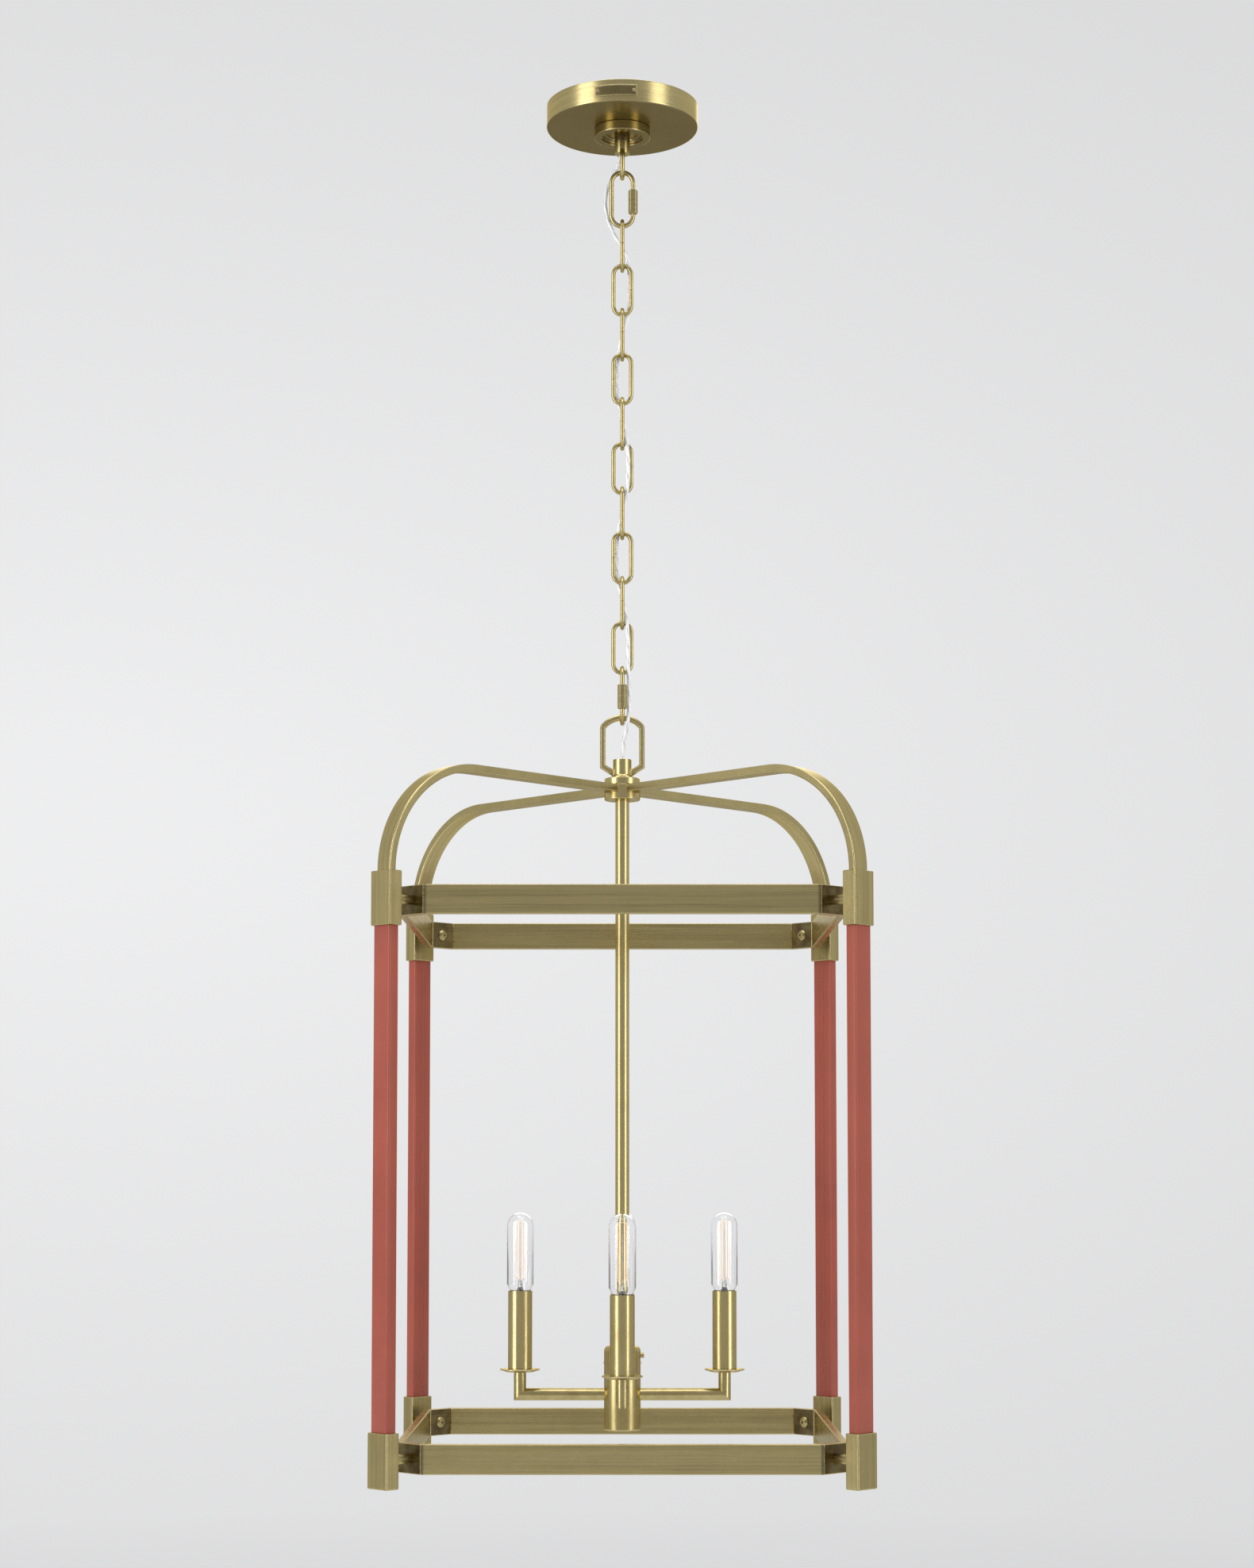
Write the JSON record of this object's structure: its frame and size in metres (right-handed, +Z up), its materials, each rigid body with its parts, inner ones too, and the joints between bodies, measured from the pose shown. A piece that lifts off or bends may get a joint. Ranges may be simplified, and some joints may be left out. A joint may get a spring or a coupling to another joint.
{
  "type": "lantern pendant",
  "caption": "Open square lantern with candle lights on a central cluster, leather-wrapped posts and bent flat-bar arms, hung by a chain from a round ceiling canopy.",
  "frame": {"origin": "centre of the canopy's ceiling face", "axes": "+Z up into the ceiling, -Y the front with the blank badge, +X to the right seen from the front; the lantern hangs to -Z"},
  "size_m": [0.402, 0.402, 1.1864],
  "materials": {
    "antique_brass": "brushed antique brass, satin, with darker seams",
    "zinc_steel": "zinc plated",
    "ground_green": "green passivated",
    "connector_plastic": "moulded",
    "clear_cord": "clear jacket over silvery conductors",
    "red_leather": "smooth satin leather, stitched on the inner side",
    "socket_phenolic": "moulded",
    "clear_glass": "clear",
    "bulb_base_metal": "nickel-brass screw shell",
    "amber_filament": "glowing wire on a clear glass mount"
  },
  "bodies": {
    "ceiling_mount": {"mounting_strap": "zinc_steel", "strap_nipple": "zinc_steel", "strap_locknut": "zinc_steel", "ground_screw": "ground_green", "wire_connectors": "connector_plastic", "canopy": "antique_brass", "badge_plate": "antique_brass", "badge_rivets": "antique_brass", "canopy_loop": "antique_brass", "supply_cord": "clear_cord"},
    "canopy_collar": {"screw_collar": "antique_brass"},
    "upper_quick_link": {"quick_link_top": "antique_brass"},
    "upper_quick_nut": {"quick_link_top_nut": "antique_brass"},
    "link_01": {"chain_link_01": "antique_brass"},
    "link_02": {"chain_link_02": "antique_brass"},
    "link_03": {"chain_link_03": "antique_brass"},
    "link_04": {"chain_link_04": "antique_brass"},
    "link_05": {"chain_link_05": "antique_brass"},
    "link_06": {"chain_link_06": "antique_brass"},
    "link_07": {"chain_link_07": "antique_brass"},
    "link_08": {"chain_link_08": "antique_brass"},
    "link_09": {"chain_link_09": "antique_brass"},
    "link_10": {"chain_link_10": "antique_brass"},
    "lower_quick_link": {"quick_link_bottom": "antique_brass"},
    "lower_quick_nut": {"quick_link_bottom_nut": "antique_brass"},
    "lantern": {"lantern_loop": "antique_brass", "hub_upper_disc": "antique_brass", "hub_lower_disc": "antique_brass", "stem_tube": "antique_brass", "arm_front_left": "antique_brass", "arm_front_right": "antique_brass", "arm_back_right": "antique_brass", "arm_back_left": "antique_brass", "post_cores": "zinc_steel", "leather_wraps": "red_leather", "post_collars": "antique_brass", "upper_rails": "antique_brass", "lower_rails": "antique_brass", "corner_plates": "antique_brass", "standoff_spacers": "antique_brass", "standoff_screws": "antique_brass", "cluster_body": "antique_brass", "cluster_cap": "antique_brass", "cluster_set_screw": "antique_brass", "candle_arms": "antique_brass", "drip_pans": "antique_brass", "candle_sleeves": "antique_brass", "lamp_sockets": "socket_phenolic"},
    "bulb_front": {"bulb_front_glass": "clear_glass", "bulb_front_base": "bulb_base_metal", "bulb_front_filament": "amber_filament"},
    "bulb_right": {"bulb_right_glass": "clear_glass", "bulb_right_base": "bulb_base_metal", "bulb_right_filament": "amber_filament"},
    "bulb_back": {"bulb_back_glass": "clear_glass", "bulb_back_base": "bulb_base_metal", "bulb_back_filament": "amber_filament"},
    "bulb_left": {"bulb_left_glass": "clear_glass", "bulb_left_base": "bulb_base_metal", "bulb_left_filament": "amber_filament"}
  },
  "joints": [
    {"name": "collar_turn", "type": "hinge", "parent": "ceiling_mount", "child": "canopy_collar", "pos_m": [0, 0, -0.024], "axis": [0, 0, 1], "continuous": true},
    {"name": "upper_quick_link_swing", "type": "hinge", "parent": "ceiling_mount", "child": "upper_quick_link", "pos_m": [0, 0, -0.063], "axis": [0, 1, 0], "range_deg": [-10, 10], "deforming": ["supply_cord"]},
    {"name": "link_01_swing", "type": "hinge", "parent": "upper_quick_link", "child": "link_01", "pos_m": [0, 0, -0.1068], "axis": [1, 0, 0], "range_deg": [-10, 10], "deforming": ["supply_cord"]},
    {"name": "link_02_swing", "type": "hinge", "parent": "link_01", "child": "link_02", "pos_m": [0, 0, -0.14635], "axis": [0, 1, 0], "range_deg": [-10, 10], "deforming": ["supply_cord"]},
    {"name": "link_03_swing", "type": "hinge", "parent": "link_02", "child": "link_03", "pos_m": [0, 0, -0.18605], "axis": [1, 0, 0], "range_deg": [-10, 10], "deforming": ["supply_cord"]},
    {"name": "link_04_swing", "type": "hinge", "parent": "link_03", "child": "link_04", "pos_m": [0, 0, -0.22575], "axis": [0, 1, 0], "range_deg": [-10, 10], "deforming": ["supply_cord"]},
    {"name": "link_05_swing", "type": "hinge", "parent": "link_04", "child": "link_05", "pos_m": [0, 0, -0.26545], "axis": [1, 0, 0], "range_deg": [-10, 10], "deforming": ["supply_cord"]},
    {"name": "link_06_swing", "type": "hinge", "parent": "link_05", "child": "link_06", "pos_m": [0, 0, -0.30515], "axis": [0, 1, 0], "range_deg": [-10, 10], "deforming": ["supply_cord"]},
    {"name": "link_07_swing", "type": "hinge", "parent": "link_06", "child": "link_07", "pos_m": [0, 0, -0.34485], "axis": [1, 0, 0], "range_deg": [-10, 10], "deforming": ["supply_cord"]},
    {"name": "link_08_swing", "type": "hinge", "parent": "link_07", "child": "link_08", "pos_m": [0, 0, -0.38455], "axis": [0, 1, 0], "range_deg": [-10, 10], "deforming": ["supply_cord"]},
    {"name": "link_09_swing", "type": "hinge", "parent": "link_08", "child": "link_09", "pos_m": [0, 0, -0.42425], "axis": [1, 0, 0], "range_deg": [-10, 10], "deforming": ["supply_cord"]},
    {"name": "link_10_swing", "type": "hinge", "parent": "link_09", "child": "link_10", "pos_m": [0, 0, -0.46395], "axis": [0, 1, 0], "range_deg": [-10, 10], "deforming": ["supply_cord"]},
    {"name": "lower_quick_link_swing", "type": "hinge", "parent": "link_10", "child": "lower_quick_link", "pos_m": [0, 0, -0.50365], "axis": [1, 0, 0], "range_deg": [-10, 10], "deforming": ["supply_cord"]},
    {"name": "lantern_swing", "type": "hinge", "parent": "lower_quick_link", "child": "lantern", "pos_m": [0, 0, -0.5478], "axis": [0, 1, 0], "range_deg": [-10, 10], "deforming": ["supply_cord"]},
    {"name": "upper_quick_nut_slide", "type": "slide", "parent": "upper_quick_link", "child": "upper_quick_nut", "axis": [0, 0, 1], "range_m": [0, 0.0062]},
    {"name": "lower_quick_nut_slide", "type": "slide", "parent": "lower_quick_link", "child": "lower_quick_nut", "axis": [0, 0, 1], "range_m": [0, 0.0062]},
    {"name": "bulb_front_unscrew", "type": "slide", "parent": "lantern", "child": "bulb_front", "axis": [0, 0, 1], "range_m": [0, 0.03]},
    {"name": "bulb_right_unscrew", "type": "slide", "parent": "lantern", "child": "bulb_right", "axis": [0, 0, 1], "range_m": [0, 0.03]},
    {"name": "bulb_back_unscrew", "type": "slide", "parent": "lantern", "child": "bulb_back", "axis": [0, 0, 1], "range_m": [0, 0.03]},
    {"name": "bulb_left_unscrew", "type": "slide", "parent": "lantern", "child": "bulb_left", "axis": [0, 0, 1], "range_m": [0, 0.03]}
  ]
}
